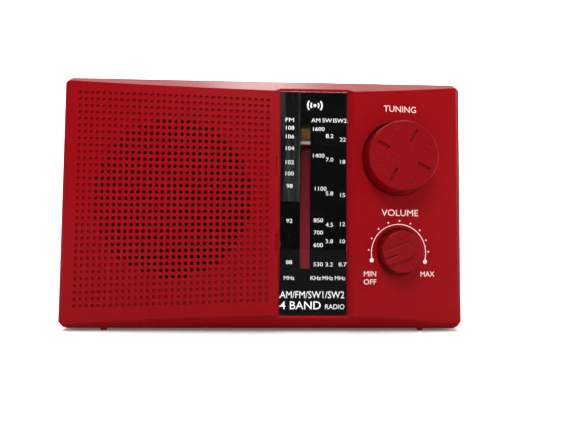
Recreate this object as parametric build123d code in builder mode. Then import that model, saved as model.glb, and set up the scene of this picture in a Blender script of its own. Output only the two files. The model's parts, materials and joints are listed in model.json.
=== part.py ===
"""Portable four-band radio: bowed moulded cabinet, dial, knobs, speaker, tuning drive and batteries.

Millimetres, +Z up. X runs across the front, the front faces -Y, and Z = 0 is the plane the feet
stand on. X = 0 is the middle of the cabinet and Y = 0 is midway between the knob faces and the back.
"""

import math
import os

from build123d import *

# ---------------------------------------------------------------- driving dimensions
WIDTH = 210.0
HEIGHT = 131.7
FOOT_H = 1.2
WALL = 2.5
TOP = FOOT_H + HEIGHT
LIP_Y = -15.75  # front end of the straight side walls
BACK_Y = 34.25
SEAM_Y = 2.0
SEAM_GAP = 0.4

# bowed front: how far the face stands ahead of LIP_Y
CROWN_X = 26.4
CROWN = 12.03
END_RISE = 3.54
BOW_LINEAR = 0.47
BOW_SQUARE = 0.53
BEVEL_REACH = 14.0
TOP_BEVEL = 0.795
BOTTOM_BEVEL = 0.809
SIDE_R = 4.2  # rounding all round each side wall
BACK_R = 4.3
LIP_R = 4.6  # where the top and bottom turn into the front's sloping edges

# loudspeaker and its grille
SPEAKER_X = -47.0
SPEAKER_Z = 68.8
SPEAKER_R = 46.0
SPEAKER_Y = -17.5
GRILLE_OPEN_R = 40.9
HOLE_R = 0.93
DIMPLE_DEPTH = 0.75
GRILLE_X0 = -95.35
GRILLE_PITCH = 3.137
GRILLE_COLUMNS = 32
GRILLE_ROWS = 33
GRILLE_TOP_Z = 118.88
GRILLE_TOP_SLOPE = -0.0474
GRILLE_BOTTOM_Z = 17.64
GRILLE_BOTTOM_SLOPE = 0.0459

# dial channel, lens and pointer
CHANNEL_Y = LIP_Y - 8.8
CHANNEL_X0, CHANNEL_X1 = 7.9, 43.1
LENS_X0, LENS_X1 = 8.3, 42.7
LENS_Z0, LENS_Z1 = 9.7, 124.0
LENS_T = 1.5
TAB_X0 = 6.4
TAB_Z = (46.2, 85.7)
TAB_H = 9.0
PLATE_T = 0.45
SLOT_X0, SLOT_X1 = 18.6, 23.7
SLOT_Z0, SLOT_Z1 = 33.3, 108.4
POINTER_Z = 97.7
POINTER_H = 1.6
RAIL_X, RAIL_Y, RAIL_R = 23.0, -17.3, 1.0
RUN_X = 28.0
CORD_R = 0.35
CORD_Y = -15.6
RUNNING = 0.05

# tuning drive
TUNE_X, TUNE_Z = 69.5, 90.2
TUNE_POCKET_Y = LIP_Y - 7.0
DRUM_R = 22.05
PULLEY_R = 3.0
PULLEY_X = RUN_X + PULLEY_R + CORD_R
PULLEY_TOP_Z, PULLEY_BOTTOM_Z = 117.5, 27.5
SHAFT_R = 3.0

# volume control
VOL_X, VOL_Z = 69.7, 42.2
VOL_POCKET_Y = LIP_Y - 7.4
VOL_REST_DEG = 201.0

# circuit board
PCB_Y0, PCB_Y1 = -6.0, -4.4
PCB_X0, PCB_X1 = 4.0, 92.5
PCB_Z0, PCB_Z1 = 46.0, 126.0
PCB_SCREWS = [(9.0, 50.5), (9.0, 121.0), (87.5, 50.5), (87.5, 121.0)]
CASE_SCREWS = [(-98.0, 46.5), (98.0, 46.5), (-98.0, 118.0), (98.0, 118.0)]
CASE_HEAD_Y = 12.0

# three round cells in a row
CELL_R = 16.6
CELL_L = 61.5
CELL_Y, CELL_Z = 14.65, 22.2
BAY_X = 96.3
BAY_FRONT_Y = -2.5
BAY_T = 1.8
BAY_Z0, BAY_Z1 = 5.2, 39.3

# aerial
GROOVE_Y, GROOVE_Z = 26.3, 124.2
MAST_X, MAST_Y, MAST_Z = 93.5, 30.3, 128.6
TUBE_RADII = [2.9, 2.4, 1.95, 1.5, 1.05]
TUBE_WALL = 0.4
TUBE_X1 = 88.0
TUBE_L = 160.0
TUBE_STEP = 2.6

# side controls
SWITCH_Y, SWITCH_Z = -9.6, 95.0
SWITCH_TRAVEL = 12.0
JACK_Y, JACK_Z = -10.2, 66.0
INLET_X, INLET_Z = -45.0, 60.0


# ---------------------------------------------------------------- helpers
def face_y(x):
    """Y of the bowed front face at x."""
    span = CROWN_X + WIDTH / 2 if x < CROWN_X else WIDTH / 2 - CROWN_X
    t = abs(x - CROWN_X) / span
    return LIP_Y - END_RISE - (CROWN - END_RISE) * (1 - BOW_LINEAR * t - BOW_SQUARE * t * t)


def cabinet_form(inset):
    """Solid of the cabinet's outside shape, moved inward by inset."""
    half = WIDTH / 2
    left_end, crown, right_end = [(x, face_y(x)) for x in (-half, CROWN_X, half)]
    left_mid, right_mid = [(x, face_y(x)) for x in ((CROWN_X - half) / 2, (CROWN_X + half) / 2)]
    with BuildPart() as form:
        with BuildSketch(Plane.XY):
            with BuildLine():
                ThreePointArc(left_end, left_mid, crown)
                ThreePointArc(crown, right_mid, right_end)
                Polyline(right_end, (half, BACK_Y), (-half, BACK_Y), left_end)
            make_face()
            if inset > 0:
                offset(amount=-inset, kind=Kind.INTERSECTION)
        extrude(amount=TOP)
        with BuildSketch(Plane.YZ.offset(-half)) as side:
            with BuildLine():
                reach_y = LIP_Y - BEVEL_REACH
                Polyline(
                    (LIP_Y, TOP),
                    (BACK_Y, TOP),
                    (BACK_Y, FOOT_H),
                    (LIP_Y, FOOT_H),
                    (reach_y, FOOT_H + BOTTOM_BEVEL * BEVEL_REACH),
                    (reach_y, TOP - TOP_BEVEL * BEVEL_REACH),
                    close=True,
                )
            make_face()
            fillet(side.vertices().group_by(Axis.X)[-1], radius=BACK_R)
            fillet([v for v in side.vertices() if abs(v.X - LIP_Y) < 0.01], radius=LIP_R)
            if inset > 0:
                offset(amount=-inset, kind=Kind.INTERSECTION)
        extrude(amount=WIDTH, mode=Mode.INTERSECT)
        walls = form.faces().sort_by(Axis.X)
        fillet(walls[0].edges() + walls[-1].edges(), radius=SIDE_R - inset)
    return form.part


def block(x0, x1, y0, y1, z0, z1, mode=Mode.ADD):
    """Rectangular block between two corners."""
    with Locations(((x0 + x1) / 2, (y0 + y1) / 2, (z0 + z1) / 2)):
        return Box(x1 - x0, y1 - y0, z1 - z0, mode=mode)


def rod_y(x, z, y0, y1, radius, mode=Mode.ADD):
    """Round bar along Y."""
    with Locations(Location((x, (y0 + y1) / 2, z), (90, 0, 0))):
        return Cylinder(radius, y1 - y0, mode=mode)


def rod_x(y, z, x0, x1, radius, mode=Mode.ADD):
    """Round bar along X."""
    with Locations(Location(((x0 + x1) / 2, y, z), (0, 90, 0))):
        return Cylinder(radius, x1 - x0, mode=mode)


def rod_z(x, y, z0, z1, radius, mode=Mode.ADD):
    """Round bar along Z."""
    with Locations((x, y, (z0 + z1) / 2)):
        return Cylinder(radius, z1 - z0, mode=mode)


def turned(x, z, outline, mode=Mode.ADD):
    """Round body about an axis along Y through (x, z), from (radius, y) points."""
    with BuildSketch(Plane.XY.offset(z)) as profile:
        with BuildLine():
            Polyline([(x + r, y) for r, y in outline], close=True)
        make_face()
    revolve(profile.sketch, axis=Axis((x, 0, z), (0, 1, 0)), mode=mode)


def grille_column(i):
    """X of a column of grille holes and the Z of each hole in it."""
    x = GRILLE_X0 + GRILLE_PITCH * i
    top = GRILLE_TOP_Z + GRILLE_TOP_SLOPE * x
    bottom = GRILLE_BOTTOM_Z + GRILLE_BOTTOM_SLOPE * x
    return x, [top + (bottom - top) * j / (GRILLE_ROWS - 1) for j in range(GRILLE_ROWS)]


def is_open(x, z):
    """True where a grille hole goes right through, over the loudspeaker."""
    return math.hypot(x - SPEAKER_X, z - SPEAKER_Z) < GRILLE_OPEN_R


def save(part, name):
    """Label a finished piece and write its STEP file."""
    part.label = name
    export_step(part, f"parts/{name}.step")


os.makedirs("parts", exist_ok=True)
outer_form = cabinet_form(0)
cavity_form = cabinet_form(WALL)
rabbet_form = cabinet_form(1.2)
lip_form = cabinet_form(1.3)

# ---------------------------------------------------------------- front cabinet
with BuildPart() as front_cavity:
    add(cavity_form)
    block(CHANNEL_X0 - 3.5, CHANNEL_X1 + 3.5, -40, CHANNEL_Y + WALL, -10, 150, Mode.SUBTRACT)
    rod_y(TUNE_X, TUNE_Z, -40, TUNE_POCKET_Y + WALL, 22.1, Mode.SUBTRACT)
    rod_y(VOL_X, VOL_Z, -40, VOL_POCKET_Y + WALL, 14.5, Mode.SUBTRACT)
    block(99.5, 110, SWITCH_Y - 6, SWITCH_Y + 4.6, 81, 109, Mode.SUBTRACT)
    with BuildSketch(Plane.XZ.offset(-SPEAKER_Y)):
        with Locations((SPEAKER_X, SPEAKER_Z)):
            Circle(SPEAKER_R)
            Circle(GRILLE_OPEN_R + 1.4, mode=Mode.SUBTRACT)
    extrude(amount=20, mode=Mode.SUBTRACT)
    for x, z in CASE_SCREWS:
        rod_y(x, z, -40, SEAM_Y, 4.2, Mode.SUBTRACT)
    for x, z in PCB_SCREWS:
        rod_y(x, z, -40, PCB_Y0, 3.0, Mode.SUBTRACT)
    for angle in (45, 135, 225, 315):
        x = SPEAKER_X + 50 * math.cos(math.radians(angle))
        z = SPEAKER_Z + 50 * math.sin(math.radians(angle))
        rod_y(x, z, -40, SPEAKER_Y + 1.0, 3.2, Mode.SUBTRACT)
    for z in (PULLEY_TOP_Z, PULLEY_BOTTOM_Z):
        rod_y(PULLEY_X, z, -40, CORD_Y - 1.8, 2.6, Mode.SUBTRACT)
    for z in (21.5, 122.5):
        block(RAIL_X - 3, RAIL_X + 3, -40, RAIL_Y + 2.5, z - 1.5, z + 1.5, Mode.SUBTRACT)

with BuildPart() as front_cabinet:
    add(outer_form)
    block(-120, 120, SEAM_Y - SEAM_GAP / 2, 60, -10, 150, Mode.SUBTRACT)
    add(front_cavity.part, mode=Mode.SUBTRACT)
    with BuildPart(mode=Mode.PRIVATE) as rabbet:
        add(rabbet_form)
        block(-120, 120, -60, -0.8, -10, 150, Mode.SUBTRACT)
    add(rabbet.part, mode=Mode.SUBTRACT)
    # sloping-sided channel for the dial, right over the top and bottom edges
    with BuildSketch(Plane.XY.offset(-1)):
        with BuildLine():
            Polyline(
                (CHANNEL_X0, CHANNEL_Y),
                (CHANNEL_X0 - 3.9, CHANNEL_Y - 4.8),
                (CHANNEL_X1 + 7.1, CHANNEL_Y - 4.8),
                (CHANNEL_X1, CHANNEL_Y),
                close=True,
            )
        make_face()
    extrude(amount=TOP + 2, mode=Mode.SUBTRACT)
    # notches for the lens's two snap tabs
    for z in TAB_Z:
        z0, z1 = z - TAB_H / 2 - 0.3, z + TAB_H / 2 + 0.3
        block(TAB_X0 - 0.3, CHANNEL_X0 + 0.5, -40, CHANNEL_Y - 0.5, z0, z1, Mode.SUBTRACT)
    # window behind the dial's pointer slot
    block(16.6, 28.6, CHANNEL_Y - 1, CHANNEL_Y + WALL + 1, 31.5, 110.2, Mode.SUBTRACT)
    # level pockets that the two knobs sit in
    rod_y(TUNE_X, TUNE_Z, -40, TUNE_POCKET_Y, 19.5, Mode.SUBTRACT)
    rod_y(TUNE_X, TUNE_Z, -40, 0, SHAFT_R + 0.4, Mode.SUBTRACT)
    rod_y(VOL_X, VOL_Z, -40, VOL_POCKET_Y, 12.3, Mode.SUBTRACT)
    rod_y(VOL_X, VOL_Z, -40, 0, 3.7, Mode.SUBTRACT)
    # band switch recess and slot, and the earphone hole, in the right side
    block(103.6, 110, SWITCH_Y - 3.6, SWITCH_Y + 3.6, 82.5, 107.5, Mode.SUBTRACT)
    block(98, 110, SWITCH_Y - 2.0, SWITCH_Y + 2.0, 85.6, 104.4, Mode.SUBTRACT)
    rod_x(JACK_Y, JACK_Z, 98, 110, 3.1, Mode.SUBTRACT)
    for x, z in CASE_SCREWS:
        rod_y(x, z, -13, SEAM_Y, 1.5, Mode.SUBTRACT)
    for x, z in PCB_SCREWS:
        rod_y(x, z, -14, PCB_Y0, 1.3, Mode.SUBTRACT)
    for angle in (45, 135, 225, 315):
        x = SPEAKER_X + 50 * math.cos(math.radians(angle))
        z = SPEAKER_Z + 50 * math.sin(math.radians(angle))
        rod_y(x, z, face_y(x) + WALL - 0.5, SPEAKER_Y + 1.0, 1.3, Mode.SUBTRACT)
    for z in (PULLEY_TOP_Z, PULLEY_BOTTOM_Z):
        rod_y(PULLEY_X, z, CHANNEL_Y + 1.2, CORD_Y - 1.8, 1.22, Mode.SUBTRACT)
    rod_z(RAIL_X, RAIL_Y, 20.6, 123.4, RAIL_R + 0.02, Mode.SUBTRACT)
    # grille: through holes over the loudspeaker, blind dimples elsewhere
    columns = [grille_column(i) for i in range(GRILLE_COLUMNS)]
    with BuildSketch(Plane.XZ.offset(-SPEAKER_Y - 0.2)):
        with Locations(*[(x, z) for x, zs in columns for z in zs if is_open(x, z)]):
            Circle(HOLE_R)
    extrude(amount=12, mode=Mode.SUBTRACT)
    for x, zs in columns:
        with BuildSketch(Plane.XZ.offset(-face_y(x) - DIMPLE_DEPTH)):
            with Locations(*[(x, z) for z in zs if not is_open(x, z)]):
                Circle(HOLE_R)
        extrude(amount=2, mode=Mode.SUBTRACT)
save(front_cabinet.part, "front_cabinet")

# ---------------------------------------------------------------- rear cabinet
with BuildPart() as rear_cavity:
    add(cavity_form)
    block(-120, 120, GROOVE_Y - WALL, 60, GROOVE_Z - WALL, 150, Mode.SUBTRACT)
    for x, z in CASE_SCREWS:
        rod_y(x, z, SEAM_Y, 40, 4.8, Mode.SUBTRACT)
    for z in (49.0, 91.0):
        rod_y(-85, z, 28.4, 40, 3.0, Mode.SUBTRACT)

with BuildPart() as rear_cabinet:
    add(outer_form)
    block(-120, 120, -60, SEAM_Y + SEAM_GAP / 2, -10, 150, Mode.SUBTRACT)
    add(rear_cavity.part, mode=Mode.SUBTRACT)
    # thin lip that steps inside the front cabinet's edge
    with BuildPart(mode=Mode.PRIVATE) as lip:
        add(lip_form)
        add(cavity_form, mode=Mode.SUBTRACT)
        block(-120, 120, -60, -0.5, -10, 150, Mode.SUBTRACT)
        block(-120, 120, SEAM_Y + 1, 60, -10, 150, Mode.SUBTRACT)
    add(lip.part)
    # trough for the aerial along the top rear edge, open at both ends
    block(-120, 120, GROOVE_Y, 60, GROOVE_Z, 150, Mode.SUBTRACT)
    # battery bay with its door opening
    bay_y0 = BAY_FRONT_Y - BAY_T
    block(-BAY_X - BAY_T, BAY_X + BAY_T, bay_y0, BACK_Y - 1, BAY_Z1, BAY_Z1 + BAY_T)
    block(-BAY_X - BAY_T, BAY_X + BAY_T, bay_y0, BAY_FRONT_Y, BAY_Z0 - 1, BAY_Z1 + 1)
    block(-BAY_X - BAY_T, BAY_X + BAY_T, bay_y0, BACK_Y - 1, BAY_Z0 - 1.2, BAY_Z0)
    for side in (-1, 1):
        inner, outer = sorted((side * BAY_X, side * (BAY_X + BAY_T)))
        block(inner, outer, bay_y0, BACK_Y - 1, BAY_Z0 - 1, BAY_Z1 + 1)
    block(-BAY_X + 0.3, BAY_X - 0.3, BAY_FRONT_Y + 1, 60, BAY_Z0 + 0.2, BAY_Z1 - 0.2, Mode.SUBTRACT)
    # recess for a fingertip above the battery door
    with Locations(Location((0, BACK_Y + 5, BAY_Z1 + 3), (0, 90, 0))):
        Cylinder(7.0, 24, mode=Mode.SUBTRACT)
    for x, z in CASE_SCREWS:
        rod_y(x, z, SEAM_Y, CASE_HEAD_Y + 1, 1.8, Mode.SUBTRACT)
        rod_y(x, z, CASE_HEAD_Y, 60, 3.2, Mode.SUBTRACT)
    for z in (49.0, 91.0):
        rod_y(-85, z, 28, 33, 1.2, Mode.SUBTRACT)
    for x in (-92.0, 92.0):
        rod_z(x, 0.0, BAY_Z1 - 1, BAY_Z1 + BAY_T + 1, 1.8, Mode.SUBTRACT)
    rod_z(MAST_X, MAST_Y, GROOVE_Z - 6, GROOVE_Z + 1, 1.6, Mode.SUBTRACT)
    rod_z(MAST_X, MAST_Y, GROOVE_Z - WALL - 3, GROOVE_Z - WALL, 3.0, Mode.SUBTRACT)
    # mains inlet opening
    with BuildSketch(Plane.XZ.offset(-60)):
        with Locations((INLET_X, INLET_Z)):
            RectangleRounded(21.2, 11.6, 5.2)
    extrude(amount=40, mode=Mode.SUBTRACT)
    # ventilation slots over the mains transformer
    with BuildSketch(Plane.XZ.offset(-60)):
        with GridLocations(6, 1, 4, 1):
            with Locations((-84, 104)):
                SlotOverall(14, 2.0, rotation=90)
    extrude(amount=40, mode=Mode.SUBTRACT)
save(rear_cabinet.part, "rear_cabinet")

with BuildPart() as battery_door:
    with BuildSketch(Plane.XZ.offset(-BACK_Y)):
        with Locations((0, (BAY_Z0 + BAY_Z1) / 2)):
            RectangleRounded(2 * (BAY_X - 0.6), BAY_Z1 - BAY_Z0 - 1.0, 1.0)
    extrude(amount=WALL)
    # grip ribs near the top edge and two locating ribs inside
    with BuildSketch(Plane.XZ.offset(-BACK_Y)):
        with GridLocations(3.4, 1, 7, 1):
            with Locations((0, BAY_Z1 - 6)):
                SlotOverall(7, 1.2, rotation=90)
    extrude(amount=0.6, mode=Mode.SUBTRACT)
    for x in (-31.5, 31.5):
        block(x - 0.8, x + 0.8, BACK_Y - WALL - 1.2, BACK_Y - WALL, BAY_Z1 - 4.5, BAY_Z1 - 1.2)
        block(x - 0.8, x + 0.8, BACK_Y - WALL - 1.2, BACK_Y - WALL, BAY_Z0 + 1.2, BAY_Z0 + 4.5)
save(battery_door.part, "battery_door")

with BuildPart() as feet:
    for x in (-83.0, 84.0):
        for y in (LIP_Y + 2.4, BACK_Y - 6.0):
            with BuildSketch(Plane.XY.offset(FOOT_H)):
                with Locations((x, y)):
                    Circle(1.7)
            extrude(amount=-FOOT_H, taper=12)
save(feet.part, "feet")

with BuildPart() as case_screws:
    for x, z in CASE_SCREWS:
        rod_y(x, z, -9, CASE_HEAD_Y, 1.4)
        rod_y(x, z, CASE_HEAD_Y, CASE_HEAD_Y + 2, 2.8)
        block(x - 1.8, x + 1.8, CASE_HEAD_Y + 1, CASE_HEAD_Y + 3, z - 0.35, z + 0.35, Mode.SUBTRACT)
        block(x - 0.35, x + 0.35, CASE_HEAD_Y + 1, CASE_HEAD_Y + 3, z - 1.8, z + 1.8, Mode.SUBTRACT)
save(case_screws.part, "case_screws")

# ---------------------------------------------------------------- dial
with BuildPart() as dial_scale_plate:
    block(LENS_X0 + 0.3, LENS_X1 - 0.3, CHANNEL_Y - PLATE_T, CHANNEL_Y, LENS_Z0 + 0.3, LENS_Z1 - 0.3)
    block(SLOT_X0, SLOT_X1, CHANNEL_Y - 1, CHANNEL_Y + 1, SLOT_Z0, SLOT_Z1, Mode.SUBTRACT)
save(dial_scale_plate.part, "dial_scale_plate")

with BuildPart() as dial_lens:
    lens_y1 = CHANNEL_Y - PLATE_T - 0.05
    lens_y0 = lens_y1 - LENS_T
    block(LENS_X0, LENS_X1, lens_y0, lens_y1, LENS_Z0, LENS_Z1)
    chamfer(dial_lens.edges().filter_by_position(Axis.Y, lens_y0, lens_y0), length=0.35)
    # two snap tabs on the left edge
    for z in TAB_Z:
        block(TAB_X0, LENS_X0 + 0.2, lens_y0 + 0.3, lens_y1 - 0.3, z - TAB_H / 2, z + TAB_H / 2)
save(dial_lens.part, "dial_lens")

with BuildPart() as dial_backing_strip:
    block(17.4, 24.9, LIP_Y - 5.9, LIP_Y - 5.2, 28.5, 113.0)
    block(17.4, 24.9, LIP_Y - 6.3, LIP_Y - 5.3, 28.5, 31.0)
    block(17.4, 24.9, LIP_Y - 6.3, LIP_Y - 5.3, 110.5, 113.0)
save(dial_backing_strip.part, "dial_backing_strip")

with BuildPart() as dial_pointer:
    block(17.6, 27.4, CHANNEL_Y + 0.3, CHANNEL_Y + 1.5, POINTER_Z - POINTER_H / 2, POINTER_Z + POINTER_H / 2)
    block(26.0, 27.4, CHANNEL_Y + 0.3, RAIL_Y - 1.8, POINTER_Z - POINTER_H / 2, POINTER_Z + POINTER_H / 2)
    block(20.8, RUN_X + 1.2, RAIL_Y - 2.0, CORD_Y + 1.3, POINTER_Z - 3, POINTER_Z + 3)
    rod_z(RAIL_X, RAIL_Y, POINTER_Z - 5, POINTER_Z + 5, RAIL_R + RUNNING, Mode.SUBTRACT)
    rod_z(RUN_X, CORD_Y, POINTER_Z - 5, POINTER_Z + 5, CORD_R + 0.1, Mode.SUBTRACT)
save(dial_pointer.part, "dial_pointer")

with BuildPart() as pointer_rail:
    rod_z(RAIL_X, RAIL_Y, 20.8, 123.2, RAIL_R)
save(pointer_rail.part, "pointer_rail")

with BuildPart() as pulley_pins:
    for z in (PULLEY_TOP_Z, PULLEY_BOTTOM_Z):
        rod_y(PULLEY_X, z, CHANNEL_Y + 1.4, CORD_Y + 1.7, 1.2)
        rod_y(PULLEY_X, z, CORD_Y + 1.7, CORD_Y + 2.3, 2.0)
save(pulley_pins.part, "pulley_pins")


def pulley_outline(bore, groove, rim):
    """(radius, y) outline of a grooved wheel lying in the cord's plane."""
    return [
        (bore, CORD_Y - 1.5),
        (rim, CORD_Y - 1.5),
        (rim, CORD_Y - 1.0),
        (groove, CORD_Y - 0.45),
        (groove, CORD_Y + 0.45),
        (rim, CORD_Y + 1.0),
        (rim, CORD_Y + 1.5),
        (bore, CORD_Y + 1.5),
    ]


for name, z in (("cord_pulley_top", PULLEY_TOP_Z), ("cord_pulley_bottom", PULLEY_BOTTOM_Z)):
    with BuildPart() as cord_pulley:
        turned(PULLEY_X, z, pulley_outline(1.2 + RUNNING, PULLEY_R - 0.03, PULLEY_R + 1.0))
    save(cord_pulley.part, name)

with BuildPart() as cord_drum:
    turned(TUNE_X, TUNE_Z, pulley_outline(SHAFT_R, DRUM_R - 0.05, DRUM_R + 1.0))
    with BuildSketch(Plane.XZ.offset(-CORD_Y - 5)):
        with Locations((TUNE_X, TUNE_Z)):
            with PolarLocations(12.5, 6):
                Circle(3.6)
    extrude(amount=10, mode=Mode.SUBTRACT)
    rod_y(TUNE_X, TUNE_Z, CORD_Y - 3.0, CORD_Y - 1.4, 5.0)
    rod_y(TUNE_X, TUNE_Z, -40, 0, SHAFT_R, Mode.SUBTRACT)
save(cord_drum.part, "cord_drum")

belt = [
    (PULLEY_X, PULLEY_BOTTOM_Z, PULLEY_R + CORD_R),
    (PULLEY_X, PULLEY_TOP_Z, PULLEY_R + CORD_R),
    (TUNE_X, TUNE_Z, DRUM_R + CORD_R),
]
with BuildPart() as dial_cord:
    with BuildLine(Plane.XZ.offset(-CORD_Y)) as cord_path:
        ends = []
        for (xa, za, ra), (xb, zb, rb) in zip(belt, belt[1:] + belt[:1]):
            heading = math.atan2(zb - za, xb - xa)
            normal = heading + math.pi / 2 + math.asin((rb - ra) / math.hypot(xb - xa, zb - za))
            away = (math.cos(normal), math.sin(normal))
            ends.append(((xa + ra * away[0], za + ra * away[1]), (xb + rb * away[0], zb + rb * away[1])))
        for (start, end), (after, _), (x, z, r) in zip(ends, ends[1:] + ends[:1], belt[1:] + belt[:1]):
            Line(start, end)
            a0 = math.degrees(math.atan2(end[1] - z, end[0] - x))
            a1 = math.degrees(math.atan2(after[1] - z, after[0] - x))
            CenterArc((x, z), r, a0, -((a0 - a1) % 360))
    with BuildSketch(Plane(origin=(RUN_X, CORD_Y, 60), z_dir=(0, 0, 1))):
        Circle(CORD_R)
    sweep(path=cord_path.wire())
save(dial_cord.part, "dial_cord")

# ---------------------------------------------------------------- tuning control
with BuildPart() as tuning_shaft:
    rod_y(TUNE_X, TUNE_Z, LIP_Y - 15.0, PCB_Y0 - 6.7, SHAFT_R)
save(tuning_shaft.part, "tuning_shaft")

with BuildPart() as tuning_knob:
    base_y, knob_y = LIP_Y - 7.6, LIP_Y - 18.5
    turned(
        TUNE_X,
        TUNE_Z,
        [
            (0, knob_y),
            (17.05, knob_y),
            (17.4, knob_y + 0.35),
            (17.9, base_y - 1.6),
            (18.1, base_y - 1.4),
            (18.1, base_y),
            (16.2, base_y),
            (15.6, knob_y + 2.4),
            (5.2, knob_y + 2.4),
            (5.2, base_y + 0.2),
            (0, base_y + 0.2),
        ],
    )
    rod_y(TUNE_X, TUNE_Z, LIP_Y - 15.0, -10, SHAFT_R, Mode.SUBTRACT)
    with BuildSketch(Plane.XZ.offset(-knob_y)):
        with Locations((TUNE_X, TUNE_Z)):
            with PolarLocations(11.15, 4, start_angle=62):
                SlotOverall(7.2, 1.6)
    extrude(amount=-0.9, mode=Mode.SUBTRACT)
    with BuildSketch(Plane.XZ.offset(-knob_y - 0.2)):
        with Locations((TUNE_X, TUNE_Z)):
            with PolarLocations(12.8, 4, start_angle=17):
                Circle(0.75)
    extrude(amount=0.6, taper=24)
save(tuning_knob.part, "tuning_knob")

with BuildPart() as tuning_capacitor:
    block(TUNE_X - 12.5, TUNE_X + 12.5, PCB_Y0 - 6.5, PCB_Y0 - 0.1, TUNE_Z - 12.5, TUNE_Z + 12.5)
    fillet(tuning_capacitor.edges().filter_by(Axis.Y), radius=1.5)
save(tuning_capacitor.part, "tuning_capacitor")

# ---------------------------------------------------------------- volume control
with BuildPart() as volume_pot:
    turned(VOL_X, VOL_Z, [(0, -18.2), (8.2, -18.2), (8.5, -17.9), (8.5, -9.4), (0, -9.4)])
    rod_y(VOL_X, VOL_Z, VOL_POCKET_Y + 1.2, -18.0, 3.4)
    rod_y(VOL_X, VOL_Z, -40, -10, 2.0 + RUNNING, Mode.SUBTRACT)
    for x in (-5, 0, 5):
        block(VOL_X + x - 0.7, VOL_X + x + 0.7, -10.2, -9.8, VOL_Z - 12.5, VOL_Z - 7.5)
save(volume_pot.part, "volume_pot")

with BuildPart() as volume_shaft:
    rod_y(VOL_X, VOL_Z, LIP_Y - 15.4, -11.5, 2.0)
save(volume_shaft.part, "volume_shaft")

with BuildPart() as volume_knob:
    base_y, knob_y = LIP_Y - 8.0, LIP_Y - 17.4
    turned(
        VOL_X,
        VOL_Z,
        [
            (0, knob_y + 1.4),
            (10.05, knob_y + 1.4),
            (10.4, knob_y + 1.75),
            (10.9, base_y - 0.6),
            (10.9, base_y),
            (8.8, base_y),
            (8.4, knob_y + 3.6),
            (4.6, knob_y + 3.6),
            (4.6, base_y - 1.6),
            (0, base_y - 1.6),
        ],
    )
    # raised grip bar from the rim across the centre, with a pointer groove at its rim end
    with BuildSketch(Plane.XZ.offset(-knob_y - 2.4)):
        with Locations(Location((VOL_X, VOL_Z), VOL_REST_DEG)):
            with Locations((2.1, 0)):
                SlotOverall(15.2, 6.8)
            with Locations((6.3, 0)):
                Rectangle(8.4, 6.8)
            Circle(10.2, mode=Mode.INTERSECT)
    extrude(amount=2.4)
    with BuildSketch(Plane.XZ.offset(-knob_y)):
        with Locations(Location((VOL_X, VOL_Z), VOL_REST_DEG)):
            with Locations((6.9, 0)):
                Rectangle(6.8, 0.9)
    extrude(amount=-0.9, mode=Mode.SUBTRACT)
    rod_y(VOL_X, VOL_Z, LIP_Y - 15.4, -10, 2.0, Mode.SUBTRACT)
save(volume_knob.part, "volume_knob")

# ---------------------------------------------------------------- loudspeaker
with BuildPart() as speaker_basket:
    turned(
        SPEAKER_X,
        SPEAKER_Z,
        [
            (41.7, SPEAKER_Y),
            (SPEAKER_R, SPEAKER_Y),
            (SPEAKER_R, SPEAKER_Y + 1),
            (42.2, SPEAKER_Y + 1),
            (25.0, -4.2),
            (10.4, -4.2),
            (10.4, -5.2),
            (24.4, -5.2),
            (41.7, SPEAKER_Y + 0.9),
        ],
    )
    with BuildSketch(Plane.XZ.offset(10)):
        with Locations((SPEAKER_X, SPEAKER_Z)):
            with PolarLocations(32.5, 4, start_angle=0):
                RectangleRounded(8, 26, 3)
    extrude(amount=-20, mode=Mode.SUBTRACT)
save(speaker_basket.part, "speaker_basket")

with BuildPart() as speaker_surround:
    turned(
        SPEAKER_X,
        SPEAKER_Z,
        [
            (41.4, SPEAKER_Y + 0.3),
            (40.0, SPEAKER_Y + 0.3),
            (38.4, SPEAKER_Y - 0.3),
            (36.6, SPEAKER_Y + 0.3),
            (35.6, SPEAKER_Y + 0.9),
            (35.8, SPEAKER_Y + 1.3),
            (36.8, SPEAKER_Y + 0.8),
            (38.4, SPEAKER_Y + 0.2),
            (39.8, SPEAKER_Y + 0.7),
            (41.0, SPEAKER_Y + 0.7),
        ],
    )
save(speaker_surround.part, "speaker_surround")

with BuildPart() as speaker_cone:
    turned(
        SPEAKER_X,
        SPEAKER_Z,
        [
            (35.6, SPEAKER_Y + 1.3),
            (24.0, -11.5),
            (11.0, -8.0),
            (9.0, -8.0),
            (9.0, -7.5),
            (11.2, -7.5),
            (24.2, -11.0),
            (35.6, SPEAKER_Y + 1.8),
        ],
    )
save(speaker_cone.part, "speaker_cone")

with BuildPart() as speaker_dust_cap:
    turned(
        SPEAKER_X,
        SPEAKER_Z,
        [(11.0, -8.1), (10.0, -9.6), (7.0, -11.0), (0, -11.9)]
        + [(0, -11.5), (6.8, -10.6), (9.6, -9.2), (10.4, -8.1)],
    )
save(speaker_dust_cap.part, "speaker_dust_cap")

with BuildPart() as voice_coil:
    turned(SPEAKER_X, SPEAKER_Z, [(8.0, -8.0), (8.9, -8.0), (8.9, -1.0), (8.0, -1.0)])
save(voice_coil.part, "voice_coil")

with BuildPart() as speaker_magnet:
    magnet_outline = [(9.6, -4.1), (22.2, -4.1), (22.5, -3.8), (22.5, 5.7), (22.2, 6.0), (9.6, 6.0)]
    turned(SPEAKER_X, SPEAKER_Z, magnet_outline)
save(speaker_magnet.part, "speaker_magnet")

with BuildPart() as speaker_yoke:
    turned(SPEAKER_X, SPEAKER_Z, [(0, -5.0), (7.2, -5.0), (7.2, 6.1), (21.0, 6.1), (21.0, 8.1), (0, 8.1)])
save(speaker_yoke.part, "speaker_yoke")

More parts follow.
